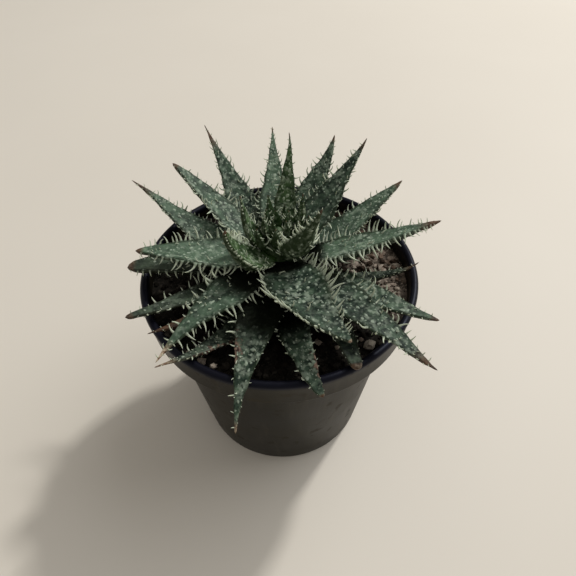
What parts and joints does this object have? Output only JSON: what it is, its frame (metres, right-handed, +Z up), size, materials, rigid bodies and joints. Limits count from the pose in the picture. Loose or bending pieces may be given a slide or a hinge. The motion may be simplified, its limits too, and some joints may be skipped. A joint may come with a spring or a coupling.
{
  "type": "potted aloe",
  "caption": "Low rosette of tapering toothed succulent leaves on a short stem, planted in a round tapered nursery pot with a collar.",
  "frame": {"origin": "centre of the pot's flat underside, on the surface the pot stands on", "axes": "+Z up along the pot's axis; -Y is the front, where two leaves hang over the rim; +X is to the right seen from the front"},
  "size_m": [0.0941, 0.096, 0.1022],
  "materials": {
    "pot_plastic": "satin",
    "soil": "matte",
    "stem": "matte",
    "outer_leaf": "matte",
    "middle_leaf": "matte",
    "inner_leaf": "matte"
  },
  "bodies": {
    "root": {"pot": "pot_plastic", "soil": "soil", "stem": "stem", "outer_leaf_1": "outer_leaf", "outer_leaf_2": "outer_leaf", "outer_leaf_3": "outer_leaf", "outer_leaf_4": "outer_leaf", "outer_leaf_5": "outer_leaf", "outer_leaf_6": "outer_leaf", "outer_leaf_7": "outer_leaf", "middle_leaf_1": "middle_leaf", "middle_leaf_2": "middle_leaf", "middle_leaf_3": "middle_leaf", "middle_leaf_4": "middle_leaf", "middle_leaf_5": "middle_leaf", "middle_leaf_6": "middle_leaf", "middle_leaf_7": "middle_leaf", "middle_leaf_8": "middle_leaf", "middle_leaf_9": "middle_leaf", "middle_leaf_10": "middle_leaf", "middle_leaf_11": "middle_leaf", "middle_leaf_12": "middle_leaf", "middle_leaf_13": "middle_leaf", "middle_leaf_14": "middle_leaf", "middle_leaf_15": "middle_leaf", "inner_leaf_1": "inner_leaf", "inner_leaf_2": "inner_leaf", "inner_leaf_3": "inner_leaf", "inner_leaf_4": "inner_leaf", "inner_leaf_5": "inner_leaf", "inner_leaf_6": "inner_leaf"}
  },
  "joints": []
}
